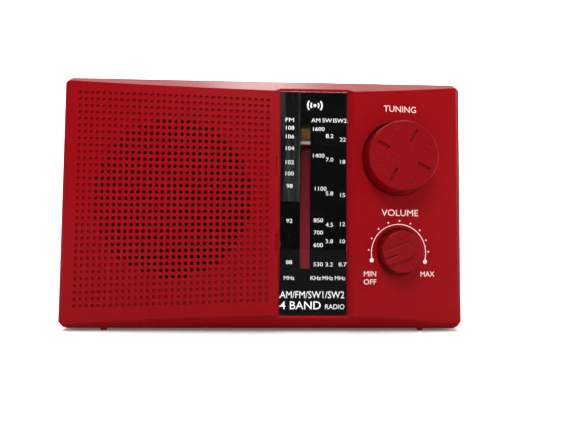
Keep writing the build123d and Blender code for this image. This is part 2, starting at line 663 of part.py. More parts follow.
with BuildPart() as speaker_screws:
    for angle in (45, 135, 225, 315):
        x = SPEAKER_X + 50 * math.cos(math.radians(angle))
        z = SPEAKER_Z + 50 * math.sin(math.radians(angle))
        rod_y(x, z, face_y(x) + WALL + 1, SPEAKER_Y + 1.0, 1.25)
        rod_y(x, z, SPEAKER_Y + 1.05, SPEAKER_Y + 1.65, 5.2)
        rod_y(x, z, SPEAKER_Y + 1.05, SPEAKER_Y + 3.2, 2.5)
save(speaker_screws.part, "speaker_screws")

# ---------------------------------------------------------------- circuit board
with BuildPart() as circuit_board:
    block(PCB_X0, PCB_X1, PCB_Y0, PCB_Y1, PCB_Z0, PCB_Z1)
    for x, z in PCB_SCREWS:
        rod_y(x, z, -10, 0, 1.6, Mode.SUBTRACT)
save(circuit_board.part, "circuit_board")

with BuildPart() as board_screws:
    for x, z in PCB_SCREWS:
        rod_y(x, z, -12.5, PCB_Y1, 1.25)
        rod_y(x, z, PCB_Y1, PCB_Y1 + 1.8, 2.5)
    for z in (49.0, 91.0):
        rod_y(-85, z, 26.7, 32.4, 1.15)
        rod_y(-85, z, 25.2, 26.75, 2.4)
save(board_screws.part, "board_screws")

with BuildPart() as coil_cans:
    for x, z in ((20, 62), (32, 62), (44, 62), (20, 76), (32, 76)):
        block(x - 3.7, x + 3.7, PCB_Y1, PCB_Y1 + 9, z - 3.7, z + 3.7)
    fillet(coil_cans.edges().filter_by(Axis.Y), radius=0.8)
    for x, z in ((20, 62), (32, 62), (44, 62), (20, 76), (32, 76)):
        rod_y(x, z, PCB_Y1 + 8, PCB_Y1 + 10, 1.7, Mode.SUBTRACT)
save(coil_cans.part, "coil_cans")

with BuildPart() as capacitors:
    for x, z, r, h in ((58, 57, 5, 16), (71, 57, 4, 12), (82, 60, 4, 12), (58, 72, 3.2, 9), (70, 70, 3.2, 9)):
        rod_y(x, z, PCB_Y1, PCB_Y1 + h, r)
save(capacitors.part, "capacitors")

with BuildPart() as resistors:
    for x, z in ((14, 90), (14, 98), (26, 88), (26, 96), (38, 90), (38, 98), (50, 88), (50, 96)):
        rod_z(x, PCB_Y1 + 1.3, z - 3, z + 3, 1.1)
        for end in (-4.2, 4.2):
            block(x - 0.3, x + 0.3, PCB_Y1, PCB_Y1 + 1.6, z + end - 0.3, z + end + 0.3)
            block(x - 0.3, x + 0.3, PCB_Y1 + 1.0, PCB_Y1 + 1.6, *sorted((z + end * 0.7, z + end)))
save(resistors.part, "resistors")

with BuildPart() as radio_chip:
    block(66, 86, PCB_Y1 + 0.8, PCB_Y1 + 4, 84, 90.4)
    block(67, 68, PCB_Y1 + 3.6, PCB_Y1 + 5, 86.7, 87.7, Mode.SUBTRACT)
    for i in range(8):
        for z0, z1 in ((82.6, 84.4), (90.0, 91.8)):
            x = 67.11 + 2.54 * i
            block(x - 0.25, x + 0.25, PCB_Y1 + 1.8, PCB_Y1 + 2.1, z0, z1)
        for z in (82.6, 91.5):
            block(x - 0.25, x + 0.25, PCB_Y1, PCB_Y1 + 2.1, z, z + 0.3)
save(radio_chip.part, "radio_chip")

with BuildPart() as ferrite_rod:
    rod_x(3.0, 117.0, 8, 90, 5.0)
save(ferrite_rod.part, "ferrite_rod")

with BuildPart() as aerial_coil:
    for x0, x1 in ((22, 36), (62, 70)):
        rod_x(3.0, 117.0, x0, x1, 6.0)
    rod_x(3.0, 117.0, 0, 100, 5.05, Mode.SUBTRACT)
save(aerial_coil.part, "aerial_coil")

with BuildPart() as ferrite_clips:
    for x in (14, 82):
        block(x - 2, x + 2, PCB_Y1, 3.0, 110.2, 123.6)
        rod_x(3.0, 117.0, x - 2, x + 2, 6.6)
        rod_x(3.0, 117.0, x - 3, x + 3, 5.05, Mode.SUBTRACT)
        block(x - 3, x + 3, 5.2, 12, 113.0, 121.0, Mode.SUBTRACT)
save(ferrite_clips.part, "ferrite_clips")

# ---------------------------------------------------------------- band switch, jack, mains supply
with BuildPart() as band_switch:
    block(86.0, 99.0, PCB_Y0 - 7.0, PCB_Y0 - 0.1, 82.5, 107.5)
    block(98, 100, SWITCH_Y - 1.9, SWITCH_Y + 1.9, 85.5, 104.5, Mode.SUBTRACT)
save(band_switch.part, "band_switch")

with BuildPart() as band_switch_knob:
    rest_z = SWITCH_Z - SWITCH_TRAVEL / 2
    block(98.3, 104.0, SWITCH_Y - 1.7, SWITCH_Y + 1.7, rest_z - 2.8, rest_z + 2.8)
    block(103.9, 104.9, SWITCH_Y - 2.6, SWITCH_Y + 2.6, rest_z - 4.2, rest_z + 4.2)
    for z in (-2.4, -0.8, 0.8, 2.4):
        block(104.6, 105.5, SWITCH_Y - 3, SWITCH_Y + 3, rest_z + z - 0.3, rest_z + z + 0.3, Mode.SUBTRACT)
save(band_switch_knob.part, "band_switch_knob")

with BuildPart() as earphone_jack:
    block(84.5, 102.2, JACK_Y - 4.0, PCB_Y0 - 0.1, JACK_Z - 4.2, JACK_Z + 4.2)
    rod_x(JACK_Y, JACK_Z, 102, 105, 3.0)
    rod_x(JACK_Y, JACK_Z, 90, 106, 1.8, Mode.SUBTRACT)
save(earphone_jack.part, "earphone_jack")

with BuildPart() as mains_inlet:
    with BuildSketch(Plane.XZ.offset(-BACK_Y)):
        with Locations((INLET_X, INLET_Z)):
            RectangleRounded(20.8, 11.2, 5.0)
    extrude(amount=18)
    with BuildSketch(Plane.XZ.offset(-BACK_Y)):
        with Locations((INLET_X, INLET_Z)):
            RectangleRounded(17.4, 7.8, 3.7)
    extrude(amount=15, mode=Mode.SUBTRACT)
    for x in (-4.3, 4.3):
        rod_y(INLET_X + x, INLET_Z, BACK_Y - 16, BACK_Y - 14, 1.2, Mode.SUBTRACT)
save(mains_inlet.part, "mains_inlet")

with BuildPart() as inlet_pins:
    for x in (-4.3, 4.3):
        rod_y(INLET_X + x, INLET_Z, BACK_Y - 16, BACK_Y - 3, 1.15)
save(inlet_pins.part, "inlet_pins")

with BuildPart() as transformer_core:
    block(-97, -73, 6, 26, 54, 86)
    block(-100, -92.2, 0, 30, 59.5, 80.5, Mode.SUBTRACT)
    block(-77.8, -70, 0, 30, 59.5, 80.5, Mode.SUBTRACT)
save(transformer_core.part, "transformer_core")

with BuildPart() as transformer_coil:
    block(-97.6, -72.4, 1.5, 30.2, 59.8, 80.2)
    fillet(transformer_coil.edges().filter_by(Axis.Z), radius=0.9)
    block(-92.3, -77.7, 5.9, 26.1, 50, 90, Mode.SUBTRACT)
save(transformer_coil.part, "transformer_coil")

with BuildPart() as transformer_bracket:
    block(-90, -80, 26.8, 28.2, 45.5, 53.2)
    block(-90, -80, 26.8, 28.2, 86.8, 94.5)
    block(-90, -80, 4.6, 28.2, 52.6, 53.8)
    block(-90, -80, 4.6, 28.2, 86.2, 87.4)
    block(-90, -80, 4.6, 5.8, 52.6, 59.4)
    block(-90, -80, 4.6, 5.8, 80.6, 87.4)
    for z in (49.0, 91.0):
        rod_y(-85, z, 20, 30, 1.4, Mode.SUBTRACT)
save(transformer_bracket.part, "transformer_bracket")

# ---------------------------------------------------------------- batteries
with BuildPart() as battery_cells:
    for i in range(3):
        x = -89.4 + i * (CELL_L + 0.1)
        with BuildSketch(Plane.XY.offset(CELL_Z)):
            with BuildLine():
                Polyline(
                    (x, CELL_Y),
                    (x, CELL_Y + CELL_R - 1.2),
                    (x + 0.8, CELL_Y + CELL_R),
                    (x + CELL_L - 3.2, CELL_Y + CELL_R),
                    (x + CELL_L - 2.4, CELL_Y + CELL_R - 1.2),
                    (x + CELL_L - 2.4, CELL_Y + 5.0),
                    (x + CELL_L, CELL_Y + 4.6),
                    (x + CELL_L, CELL_Y),
                    close=True,
                )
            make_face()
        revolve(axis=Axis((0, CELL_Y, CELL_Z), (1, 0, 0)))
save(battery_cells.part, "battery_cells")

with BuildPart() as battery_contacts:
    for x0, x1 in ((-96.1, -95.6), (95.6, 96.1)):
        block(x0, x1, CELL_Y - 9, CELL_Y + 9, CELL_Z - 8, CELL_Z + 8)
        block(x0, x1, CELL_Y - 2, CELL_Y + 2, CELL_Z + 7, CELL_Z + 16)
save(battery_contacts.part, "battery_contacts")

with BuildPart() as battery_spring:
    with BuildLine() as coil:
        small_end = (-95.05, CELL_Y, CELL_Z)
        Helix(pitch=1.5, height=5.1, radius=7.0, center=small_end, direction=(1, 0, 0), cone_angle=-20)
    with BuildSketch(Plane(origin=coil.line @ 0, z_dir=coil.line % 0)):
        Circle(0.45)
    sweep(path=coil.wire(), is_frenet=True)
save(battery_spring.part, "battery_spring")

# ---------------------------------------------------------------- hook-up wires
wire_runs = [
    [(95.0, 5.0, 30.0), (92.6, 1.5, 35.0), (92.0, 0.0, 38.0)]
    + [(92.0, 0.0, 42.0), (91.8, -0.6, 46.0), (90.5, -3.8, 56.0)],
    [(-95.0, 5.0, 30.0), (-92.6, 1.5, 35.0), (-92.0, 0.0, 38.0)]
    + [(-92.0, 0.0, 42.0), (-89.0, 0.0, 44.8), (-75.0, 0.0, 45.0)]
    + [(-47.0, 0.0, 44.6), (-20.0, 0.0, 44.8), (6.5, -3.8, 56.0)],
    [(-27.9, -4.9, 49.7), (-20.0, -2.6, 48.0), (-5.0, -2.4, 53.0), (7.0, -3.8, 60.0)],
    [(-29.6, -4.9, 48.0), (-20.0, -2.6, 46.8), (-5.0, -2.4, 50.6), (9.0, -3.8, 57.6)],
    [(91.4, 28.6, 118.4), (90.5, 20.0, 108.0), (89.5, 8.0, 101.0), (88.0, -3.8, 98.0)],
    [(-49.3, 15.6, 60.0), (-58.0, 13.0, 62.0), (-72.0, 16.0, 70.0)],
    [(-40.7, 15.6, 60.0), (-52.0, 11.0, 55.0), (-72.0, 12.0, 66.0)],
    [(-72.0, 18.0, 76.0), (-50.0, 12.0, 84.0), (-10.0, 8.0, 76.0), (7.0, -3.8, 70.0)],
]
with BuildPart() as hookup_wires:
    for run in wire_runs:
        with BuildLine() as wire_path:
            Spline(*run)
        with BuildSketch(Plane(origin=wire_path.line @ 0, z_dir=wire_path.line % 0)):
            Circle(0.5)
        sweep(path=wire_path.wire())
save(hookup_wires.part, "hookup_wires")

# ---------------------------------------------------------------- telescopic aerial
with BuildPart() as aerial_base:
    rod_z(MAST_X, MAST_Y, GROOVE_Z + 0.2, GROOVE_Z + 1.6, 3.7)
    with BuildPart(mode=Mode.PRIVATE) as ears:
        for y0, y1 in ((27.2, 28.6), (32.0, 33.4)):
            block(MAST_X - 2.2, MAST_X + 2.2, y0, y1, GROOVE_Z + 1.0, MAST_Z)
            rod_y(MAST_X, MAST_Z, y0, y1, 2.2)
    add(ears.part)
    rod_z(MAST_X, MAST_Y, GROOVE_Z - 1, GROOVE_Z + 1.3, 1.35, Mode.SUBTRACT)
    rod_y(MAST_X, MAST_Z, 20, 40, 1.0, Mode.SUBTRACT)
save(aerial_base.part, "aerial_base")

with BuildPart() as aerial_base_screw:
    rod_z(MAST_X, MAST_Y, GROOVE_Z - WALL - 0.1, GROOVE_Z + 1.2, 1.3)
    rod_z(MAST_X, MAST_Y, GROOVE_Z - WALL - 1.9, GROOVE_Z - WALL - 0.1, 2.7)
save(aerial_base_screw.part, "aerial_base_screw")

with BuildPart() as aerial_hinge_pin:
    rod_y(MAST_X, MAST_Z, 27.0, 33.6, 1.0)
save(aerial_hinge_pin.part, "aerial_hinge_pin")

with BuildPart() as aerial_knuckle:
    rod_y(MAST_X, MAST_Z, 28.9, 31.7, 2.4)
    block(TUBE_X1 + 0.4, MAST_X, 28.9, 31.7, MAST_Z - 2.2, MAST_Z + 2.2)
    rod_x(MAST_Y, MAST_Z, TUBE_X1 - 4, TUBE_X1 + 1.6, TUBE_RADII[0] - TUBE_WALL)
    rod_x(MAST_Y, MAST_Z, TUBE_X1 + 0.05, TUBE_X1 + 1.6, TUBE_RADII[0])
    rod_y(MAST_X, MAST_Z, 20, 40, 1.0 + RUNNING, Mode.SUBTRACT)
save(aerial_knuckle.part, "aerial_knuckle")

for i, radius in enumerate(TUBE_RADII):
    x1 = TUBE_X1 - i * 5.0
    x0 = TUBE_X1 - TUBE_L - i * TUBE_STEP
    with BuildPart() as tube:
        rod_x(MAST_Y, MAST_Z, x0, x1, radius)
        if i < len(TUBE_RADII) - 1:
            rod_x(MAST_Y, MAST_Z, x0 + 1.0, x1 + 1, radius - TUBE_WALL, Mode.SUBTRACT)
            rod_x(MAST_Y, MAST_Z, x0 - 1, x1 + 1, TUBE_RADII[i + 1] + RUNNING, Mode.SUBTRACT)
    save(tube.part, f"aerial_tube_{i + 1}")

with BuildPart() as aerial_tip:
    tip_x = TUBE_X1 - TUBE_L - (len(TUBE_RADII) - 1) * TUBE_STEP
    rod_x(MAST_Y, MAST_Z, tip_x - 4.0, tip_x, TUBE_RADII[0])
    fillet(aerial_tip.edges().sort_by(Axis.X)[0], radius=1.4)
save(aerial_tip.part, "aerial_tip")
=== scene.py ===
"""Looks for the portable four-band radio.

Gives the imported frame's parts their materials, adds the printed lettering, and sets up studio and camera.
Positions written in mm are in the CAD frame: X to the right, Z up, and the front faces -Y.
"""

import json
import math

import bmesh
import bpy
from mathutils import Matrix, Vector


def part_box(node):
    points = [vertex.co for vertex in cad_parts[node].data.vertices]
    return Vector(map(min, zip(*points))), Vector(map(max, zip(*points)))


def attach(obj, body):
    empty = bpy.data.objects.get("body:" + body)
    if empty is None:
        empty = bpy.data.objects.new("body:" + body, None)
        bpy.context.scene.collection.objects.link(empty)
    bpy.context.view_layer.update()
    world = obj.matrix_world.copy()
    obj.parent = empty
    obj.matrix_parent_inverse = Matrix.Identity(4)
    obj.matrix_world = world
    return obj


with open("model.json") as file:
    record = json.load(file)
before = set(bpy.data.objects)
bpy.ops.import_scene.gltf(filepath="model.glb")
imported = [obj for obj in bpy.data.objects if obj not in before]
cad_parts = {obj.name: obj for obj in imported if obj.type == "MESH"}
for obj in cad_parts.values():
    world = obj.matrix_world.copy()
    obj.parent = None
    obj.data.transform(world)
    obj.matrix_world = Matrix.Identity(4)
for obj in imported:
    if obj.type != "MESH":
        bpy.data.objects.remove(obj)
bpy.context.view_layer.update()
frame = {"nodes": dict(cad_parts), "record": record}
scene = bpy.context.scene
NODES = frame["nodes"]
MM = 0.001

# ---------------------------------------------------------------- camera
# the camera's own axes: where it looks, its right and its up
AIM = (0.0339, 0.99837, 0.0459)
SIDE = (0.99938, -0.03431, 0.00813)
UP = (-0.00969, -0.0456, 0.99891)
CAMERA_AT = (5.52, -238.58, 49.81)
FOCAL_LENGTH, SENSOR_WIDTH = 26.205, 36.0

camera_data = bpy.data.cameras.new("camera")
camera_data.lens = FOCAL_LENGTH
camera_data.sensor_width = SENSOR_WIDTH
camera_data.clip_start = 0.01
camera = bpy.data.objects.new("camera", camera_data)
scene.collection.objects.link(camera)
view = Matrix((SIDE, UP, [-c for c in AIM])).transposed().to_4x4()
view.translation = Vector(CAMERA_AT) * MM
camera.matrix_world = view
scene.camera = camera
scene.view_settings.view_transform = "Standard"


# ---------------------------------------------------------------- material helpers
class Look:
    """A node material with a Principled shader, and short names for the nodes that shape it."""

    def __init__(self, name, colour, rough=0.5, metal=0.0, **sockets):
        self.mat = bpy.data.materials.new(name)
        self.mat.use_nodes = True
        self.tree = self.mat.node_tree
        self.shader = self.tree.nodes["Principled BSDF"]
        self.out = self.tree.nodes["Material Output"]
        self.set("Base Color", (*colour, 1.0))
        self.set("Roughness", rough)
        self.set("Metallic", metal)
        for key, value in sockets.items():
            self.set(key.replace("_", " "), value)
        self.coords = self.tree.nodes.new("ShaderNodeTexCoord").outputs["Object"]

    def set(self, socket, value):
        self.shader.inputs[socket].default_value = value

    def link(self, a, b):
        self.tree.links.new(a, b)

    def mapping(self, scale):
        """Object coordinates stretched by a scale along each axis."""
        node = self.tree.nodes.new("ShaderNodeMapping")
        node.inputs["Scale"].default_value = scale
        self.link(self.coords, node.inputs["Vector"])
        return node.outputs["Vector"]

    def noise(self, scale, detail, source=None):
        node = self.tree.nodes.new("ShaderNodeTexNoise")
        node.inputs["Scale"].default_value = scale
        node.inputs["Detail"].default_value = detail
        node.inputs["Roughness"].default_value = 0.55
        self.link(source or self.coords, node.inputs["Vector"])
        return node.outputs["Fac"]

    def cells(self, scale, source):
        node = self.tree.nodes.new("ShaderNodeTexVoronoi")
        node.inputs["Scale"].default_value = scale
        self.link(source, node.inputs["Vector"])
        return node.outputs["Distance"]

    def waves(self, scale, direction):
        node = self.tree.nodes.new("ShaderNodeTexWave")
        node.bands_direction = direction
        node.inputs["Scale"].default_value = scale
        self.link(self.coords, node.inputs["Vector"])
        return node.outputs["Fac"]

    def span(self, source, lo, hi, low=0.0, high=1.0):
        """Maps lo..hi of the source to low..high, and holds it there outside that."""
        node = self.tree.nodes.new("ShaderNodeMapRange")
        for key, value in (("From Min", lo), ("From Max", hi), ("To Min", low), ("To Max", high)):
            node.inputs[key].default_value = value
        self.link(source, node.inputs["Value"])
        return node.outputs["Result"]

    def soften(self, radius):
        """Reads the edges as rounded, so that they catch a thin line of light."""
        node = self.tree.nodes.new("ShaderNodeBevel")
        node.samples = 16
        node.inputs["Radius"].default_value = radius
        self.link(node.outputs["Normal"], self.shader.inputs["Normal"])

    def pass_light(self):
        """Lets lamps shine straight through, as thin clear plastic does."""
        ray = self.tree.nodes.new("ShaderNodeLightPath").outputs["Is Shadow Ray"]
        through = self.tree.nodes.new("ShaderNodeBsdfTransparent")
        both = self.tree.nodes.new("ShaderNodeMixShader")
        self.link(ray, both.inputs[0])
        self.link(self.shader.outputs["BSDF"], both.inputs[1])
        self.link(through.outputs["BSDF"], both.inputs[2])
        self.link(both.outputs["Shader"], self.out.inputs["Surface"])

    def axis(self, name):
        node = self.tree.nodes.new("ShaderNodeSeparateXYZ")
        self.link(self.coords, node.inputs["Vector"])
        return node.outputs[name]

    def mix(self, factor, a, b):
        """Goes from colour a to colour b, each a plain colour or a node's output."""
        node = self.tree.nodes.new("ShaderNodeMix")
        node.data_type = "RGBA"
        self.link(factor, node.inputs["Factor"])
        for key, value in (("A", a), ("B", b)):
            socket = [s for s in node.inputs if s.name == key and s.type == "RGBA"][0]
            if isinstance(value, tuple):
                socket.default_value = (*value, 1.0)
            else:
                self.link(value, socket)
        return [s for s in node.outputs if s.type == "RGBA"][0]

    def colour(self, source):
        self.link(source, self.shader.inputs["Base Color"])

    def roughness(self, source):
        self.link(source, self.shader.inputs["Roughness"])

    def bump(self, height, strength, distance):
        """Adds a bump on top of whatever already shapes the normal."""
        node = self.tree.nodes.new("ShaderNodeBump")
        node.inputs["Strength"].default_value = strength
        node.inputs["Distance"].default_value = distance
        self.link(height, node.inputs["Height"])
        if self.shader.inputs["Normal"].is_linked:
            self.link(self.shader.inputs["Normal"].links[0].from_socket, node.inputs["Normal"])
        self.link(node.outputs["Normal"], self.shader.inputs["Normal"])


# noise scales, in cycles per metre, and the grain's depth in metres
MOTTLE_SCALE, SHEEN_SCALE, GRAIN_SCALE, GRAIN_DEPTH = 60, 900, 2600, 0.00006


def moulded(name, colour, rough, grain=0.25, mottle=0.06, soften=0.0, **sockets):
    """Injection-moulded plastic: spark-eroded grain, faint flow mottling, uneven sheen."""
    look = Look(name, colour, rough, **sockets)
    if soften:
        look.soften(soften)
    dark = tuple(c * (1 - 2 * mottle) for c in colour)
    light = tuple(min(1, c * (1 + mottle) + 0.001) for c in colour)
    look.colour(look.mix(look.noise(MOTTLE_SCALE, 4), dark, light))
    look.roughness(look.span(look.noise(SHEEN_SCALE, 3), 0.3, 0.7, rough - 0.05, rough + 0.06))
    look.bump(look.noise(GRAIN_SCALE, 2), grain, GRAIN_DEPTH)
    return look


def metal(name, colour, rough, streak=(30, 30, 900)):
    """Drawn, turned or plated metal with fine marks across the axes where streak is large."""
    look = Look(name, colour, rough, 1.0)
    marks = look.noise(6, 4, look.mapping(streak))
    look.roughness(look.span(marks, 0.3, 0.7, rough * 0.75, rough * 1.35))
    dull = tuple(c * 0.82 for c in colour)
    look.colour(look.mix(look.noise(40, 3), dull, colour))
    look.bump(marks, 0.12, 0.00003)
    return look


# ---------------------------------------------------------------- materials
red = moulded("red_moulding", (0.205, 0.0, 0.002), 0.36, grain=0.35, mottle=0.04, Specular_IOR_Level=0.1)
knob_red = moulded(
    "red_knob", (0.175, 0.0, 0.002), 0.3, grain=0.03, mottle=0.03, soften=0.0002, Specular_IOR_Level=0.2
)
black_gloss = moulded(
    "black_print", (0.0012, 0.0012, 0.0014), 0.4, grain=0.02, mottle=0.05, Specular_IOR_Level=0.015
)
black_satin = moulded("black_moulding", (0.014, 0.014, 0.015), 0.42)
white_part = moulded("white_moulding", (0.62, 0.61, 0.58), 0.45)
pointer_grey = moulded("pointer_grey", (0.15, 0.145, 0.14), 0.5)
grey_part = moulded("grey_moulding", (0.16, 0.16, 0.17), 0.5)
rubber = moulded("rubber", (0.02, 0.02, 0.02), 0.75, grain=0.5)
foot_red = moulded("foot_rubber", (0.16, 0.004, 0.008), 0.7, grain=0.5)
chip_black = moulded("chip_epoxy", (0.02, 0.02, 0.022), 0.6, grain=0.5)
wire_sleeve = moulded("wire_sleeve", (0.32, 0.02, 0.02), 0.35, grain=0.05)
steel = metal("zinc_steel", (0.56, 0.56, 0.58), 0.32)
tin = metal("tinned_can", (0.70, 0.70, 0.71), 0.28)
nickel = metal("nickel", (0.50, 0.48, 0.44), 0.26)
chrome = metal("chrome", (0.40, 0.40, 0.42), 0.16, streak=(900, 30, 30))
aluminium = metal("aluminium", (0.75, 0.76, 0.77), 0.3, streak=(30, 900, 30))
lamination = metal("laminations", (0.16, 0.16, 0.17), 0.5)
lamination.bump(lamination.waves(620, "Y"), 0.5, 0.0002)
ferrite = moulded("ferrite", (0.03, 0.03, 0.034), 0.6, grain=0.6)
copper = metal("enamelled_wire", (0.45, 0.16, 0.06), 0.32)
copper.bump(copper.waves(900, "Z"), 0.6, 0.0002)
resistor_tan = moulded("resistor", (0.40, 0.27, 0.15), 0.45)
cap_blue = moulded("capacitor_sleeve", (0.02, 0.05, 0.20), 0.28, grain=0.05)

board = moulded("phenolic_board", (0.26, 0.13, 0.04), 0.5)
tracks = board.span(board.cells(160, board.mapping((1, 1, 1.6))), 0.22, 0.24)
board.colour(board.mix(tracks, (0.10, 0.16, 0.05), (0.26, 0.14, 0.05)))

cord_look = Look("dial_cord", (0.45, 0.42, 0.34), 0.7)
twist = cord_look.waves(1500, "DIAGONAL")
cord_look.bump(twist, 0.8, 0.0002)
# painted shade: the cord is coloured darker in the troughs of its twist, the grooves between its strands
cord_look.colour(cord_look.mix(twist, (0.34, 0.31, 0.24), (0.5, 0.47, 0.38)))

paper = moulded("cone_paper", (0.012, 0.012, 0.012), 0.8, grain=0.9, mottle=0.3)
paper.bump(paper.noise(700, 6), 0.6, 0.0002)
dust_cap = moulded("dust_cap", (0.03, 0.03, 0.032), 0.3, grain=0.15)

cell_jacket = moulded("cell_jacket", (0.015, 0.05, 0.17), 0.26, grain=0.04)
cells_lo, cells_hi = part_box("battery_cells")
ONE_CELL = (cells_hi.x - cells_lo.x) / 3
WAVES_PER_METRE = 20 / (2 * math.pi)  # of a wave texture at a scale of 1
# one wave to a cell, with its crest, the gold band, where two cells meet
band = cell_jacket.span(cell_jacket.waves(1 / ONE_CELL / WAVES_PER_METRE, "X"), 0.86, 0.87)
cell_jacket.colour(cell_jacket.mix(band, (0.015, 0.05, 0.17), (0.55, 0.42, 0.14)))

# the strip behind the pointer's slot: the red moulding seen through the lens, with painted shade: darker
# than the cabinet's red, lighter at the foot, deeper towards the middle, and ochre at the top
STRIP_FOOT = (0.15, 0.011, 0.017)
STRIP_SHADED_RED = (0.058, 0.004, 0.006)
STRIP_OCHRE = (0.14, 0.11, 0.02)
dial_red = moulded("dial_red", STRIP_SHADED_RED, 0.5, grain=0.2, Specular_IOR_Level=0.03)
height = dial_red.axis("Z")
# painted shade, grading from the lighter foot to the darker middle of the strip
foot_to_shade = dial_red.mix(dial_red.span(height, 0.04, 0.092), STRIP_FOOT, STRIP_SHADED_RED)
dial_red.colour(dial_red.mix(dial_red.span(height, 0.097, 0.112), foot_to_shade, STRIP_OCHRE))

clear = Look("clear_acrylic", (1, 1, 1), 0.01, Transmission_Weight=1.0, IOR=1.49)
clear.roughness(clear.span(clear.noise(40, 2), 0.4, 0.7, 0.0, 0.01))
clear.pass_light()

print_white = moulded("dial_print", (0.8, 0.8, 0.79), 0.55, grain=0.1)
print_pink = moulded("panel_print", (0.82, 0.59, 0.57), 0.55, grain=0.2)
print_pink.bump(print_pink.noise(5200, 2), 0.5, 0.00005)

# looks by material slot, and then for the parts that differ from the rest of their slot
SLOT_LOOKS = {
    "red_plastic": red,
    "rubber": rubber,
    "steel": steel,
    "black_plastic": black_satin,
    "clear_lens": clear,
    "dial_red": dial_red,
    "white_plastic": white_part,
    "cord": cord_look,
    "grey_plastic": grey_part,
    "aluminium": aluminium,
    "paper": paper,
    "dust_cap": dust_cap,
    "copper": copper,
    "ferrite": ferrite,
    "board": board,
    "tin": tin,
    "cap_sleeve": cap_blue,
    "resistor_body": resistor_tan,
    "nickel": nickel,
    "lamination": lamination,
    "cell_jacket": cell_jacket,
    "wire_sleeve": wire_sleeve,
    "chrome": chrome,
}
NODE_LOOKS = {
    "dial_scale_plate": black_gloss,
    "dial_pointer": pointer_grey,
    "radio_chip": chip_black,
    "band_switch": black_satin,
    "feet": foot_red,
    "tuning_knob": knob_red,
    "volume_knob": knob_red,
}
for row in frame["record"]["subparts"]:
    name = row["node"]
    look = NODE_LOOKS.get(name, SLOT_LOOKS[row["material_slot"]])
    mesh = NODES[name].data
    mesh.materials.clear()
    mesh.materials.append(look.mat)


# ---------------------------------------------------------------- printed lettering
def letters(text, cap, width=None, swell=1.0, weight=0.0):
    """Mesh of a line of lettering centred on the origin in X-Y, cap high.

    Its width is given, or else follows from the typeface, swell times as wide.
    """
    curve = bpy.data.curves.new("lettering", "FONT")
    curve.body = text
    curve.offset = weight
    curve.extrude = 0.02  # Print gives it its real thickness
    curve.resolution_u = 3
    ghost = bpy.data.objects.new("lettering", curve)
    scene.collection.objects.link(ghost)
    bpy.context.view_layer.update()
    mesh = bpy.data.meshes.new_from_object(ghost.evaluated_get(bpy.context.evaluated_depsgraph_get()))
    bpy.data.objects.remove(ghost)
    bpy.data.curves.remove(curve)
    xs = [v.co.x for v in mesh.vertices]
    ys = [v.co.y for v in mesh.vertices]
    grow = cap / (max(ys) - min(ys))
    stretch = swell * grow if width is None else width / (max(xs) - min(xs))
    middle = ((max(xs) + min(xs)) / 2, (max(ys) + min(ys)) / 2)
    for v in mesh.vertices:
        v.co.x = (v.co.x - middle[0]) * stretch
        v.co.y = (v.co.y - middle[1]) * grow
    return mesh


class Print:
    """Gathers flat shapes in the front view (X, Z in mm) into one thin printed piece."""

    def __init__(self, name, look, slot, thick):
        self.bm = bmesh.new()
        self.name, self.look, self.slot, self.thick = name, look, slot, thick

    def line(self, text, x, z, cap, width=None, swell=1.0, weight=0.0):
        mesh = letters(text, cap * MM, None if width is None else width * MM, swell, weight)
        depth = max(v.co.z for v in mesh.vertices)
        for v in mesh.vertices:
            v.co = (x * MM + v.co.x, -self.thick * v.co.z / depth, z * MM + v.co.y)
        self.bm.from_mesh(mesh)
        bpy.data.meshes.remove(mesh)

    def ring(self, x, z, radius, width, start, stop, steps=96):
        """Band along an arc, degrees anticlockwise from +X."""
        rows = []
        for i in range(steps + 1):
            a = math.radians(start + (stop - start) * i / steps)
            row = []
            for r in (radius - width / 2, radius + width / 2):
                px, pz = (x + r * math.cos(a)) * MM, (z + r * math.sin(a)) * MM
                for y in (self.thick, -self.thick):
                    row.append(self.bm.verts.new((px, y, pz)))
            rows.append(row)
        for a, b in zip(rows, rows[1:]):
            for i, j in ((0, 1), (1, 3), (3, 2), (2, 0)):
                self.bm.faces.new((a[i], a[j], b[j], b[i]))
        self.bm.faces.new((rows[0][0], rows[0][2], rows[0][3], rows[0][1]))
        self.bm.faces.new((rows[-1][0], rows[-1][1], rows[-1][3], rows[-1][2]))

    def dot(self, x, z, radius, steps=20):
        size = radius * MM
        disc = bmesh.ops.create_cone(
            self.bm, cap_ends=True, segments=steps, radius1=size, radius2=size, depth=2 * self.thick
        )
        turn = Matrix.Translation((x * MM, 0, z * MM)) @ Matrix.Rotation(math.pi / 2, 4, "X")
        bmesh.ops.transform(self.bm, matrix=turn, verts=disc["verts"])

    def finish(self, surface_y, body):
        """Lays the print on a surface given by its Y at (x, z), and makes the object."""
        for v in self.bm.verts:
            v.co.y += surface_y(v.co.x, v.co.z)
        bmesh.ops.recalc_face_normals(self.bm, faces=self.bm.faces)
        mesh = bpy.data.meshes.new(self.name)
        self.bm.to_mesh(mesh)
        self.bm.free()
        mesh.materials.append(self.look.mat)
        piece = bpy.data.objects.new(self.name, mesh)
        scene.collection.objects.link(piece)
        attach(piece, body)


# the dial's lettering: X counts from a line this far left of the plate's right edge,
# and Z from the plate's lower edge
DIAL_SPAN = 35.1
PRINT_THICK = 0.00002
NUMBER_CAP, HEAD_CAP, UNIT_CAP = 2.05, 2.1, 2.0
HEAD_Z, UNIT_Z = 99.3, 18.6
plate_lo, plate_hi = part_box("dial_scale_plate")
DX, DZ = plate_hi.x / MM - DIAL_SPAN, plate_lo.z / MM
FM_MARKS = (
    ("108", 95.2), ("106", 90.7), ("104", 84.6), ("102", 77.4),
    ("100", 71.6), ("98", 65.2), ("92", 47.4), ("88", 26.5),
)
AM_MARKS = (
    ("1600", 94.8), ("1400", 81.0), ("1100", 64.0), ("850", 47.8),
    ("700", 41.6), ("600", 35.2), ("530", 25.5),
)
SW1_MARKS = (("8.2", 91.2), ("7.0", 79.0), ("5.8", 61.6), ("4.5", 45.6), ("3.8", 37.2), ("3.2", 25.5))
